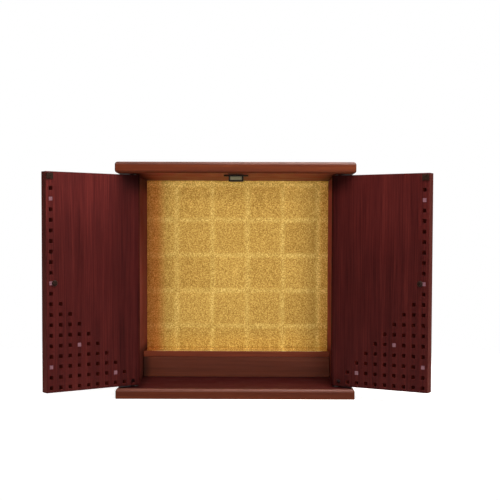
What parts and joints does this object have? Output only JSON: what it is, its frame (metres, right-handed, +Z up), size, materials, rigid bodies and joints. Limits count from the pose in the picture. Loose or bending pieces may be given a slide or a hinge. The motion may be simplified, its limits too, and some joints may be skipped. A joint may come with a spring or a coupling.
{
  "type": "household altar cabinet",
  "caption": "Small household altar cabinet: slab top and base, pin-hung doors pierced with square holes, gold-papered back and a low step inside.",
  "frame": {"origin": "centre of the base slab's underside", "axes": "+Z up, -Y towards the open front, +X to the viewer's right as the front is faced"},
  "size_m": [0.4761, 0.2385, 0.2964],
  "materials": {
    "orange_rosewood": "satin lacquered orange-brown rosewood veneer",
    "dark_rosewood": "satin lacquered dark red rosewood veneer",
    "plain_board": "plain stained board",
    "gold_paper": "board papered in gold leaf squares",
    "pearl": "pearl-coloured plug",
    "black_steel": "black lacquered steel",
    "black_plastic": "moulded black plastic",
    "nickel": "dull nickel plate",
    "pin_steel": "bright steel"
  },
  "bodies": {
    "cabinet": {"base_slab": "orange_rosewood", "top_slab": "orange_rosewood", "side_wall_left": "dark_rosewood", "side_wall_right": "dark_rosewood", "back_board": "plain_board", "gold_panel": "gold_paper", "step_riser": "orange_rosewood", "step_top": "gold_paper", "catch_housing": "black_plastic", "catch_magnet": "nickel", "catch_screw_left": "black_steel", "catch_screw_right": "black_steel", "pivot_pin_left_bottom": "pin_steel", "pivot_pin_left_top": "pin_steel", "pivot_pin_right_bottom": "pin_steel", "pivot_pin_right_top": "pin_steel", "pivot_washer_left": "pin_steel", "pivot_washer_right": "pin_steel"},
    "left_leaf": {"door_left": "dark_rosewood", "inlay_left_1": "pearl", "inlay_left_2": "pearl", "inlay_left_3": "pearl", "inlay_left_4": "pearl", "inlay_left_5": "pearl", "knob_left": "black_steel", "knob_screw_left": "black_steel", "strike_plate_left": "black_steel"},
    "right_leaf": {"door_right": "dark_rosewood", "inlay_right_1": "pearl", "inlay_right_2": "pearl", "inlay_right_3": "pearl", "inlay_right_4": "pearl", "inlay_right_5": "pearl", "knob_right": "black_steel", "knob_screw_right": "black_steel", "strike_plate_right": "black_steel"}
  },
  "joints": [
    {"name": "left_door", "type": "hinge", "parent": "cabinet", "child": "left_leaf", "pos_m": [-0.1275, -0.0655, 0.148], "axis": [0, 0, 1], "range_deg": [-37.7, 142.3]},
    {"name": "right_door", "type": "hinge", "parent": "cabinet", "child": "right_leaf", "pos_m": [0.1275, -0.0655, 0.148], "axis": [0, 0, 1], "range_deg": [-149, 31]}
  ]
}
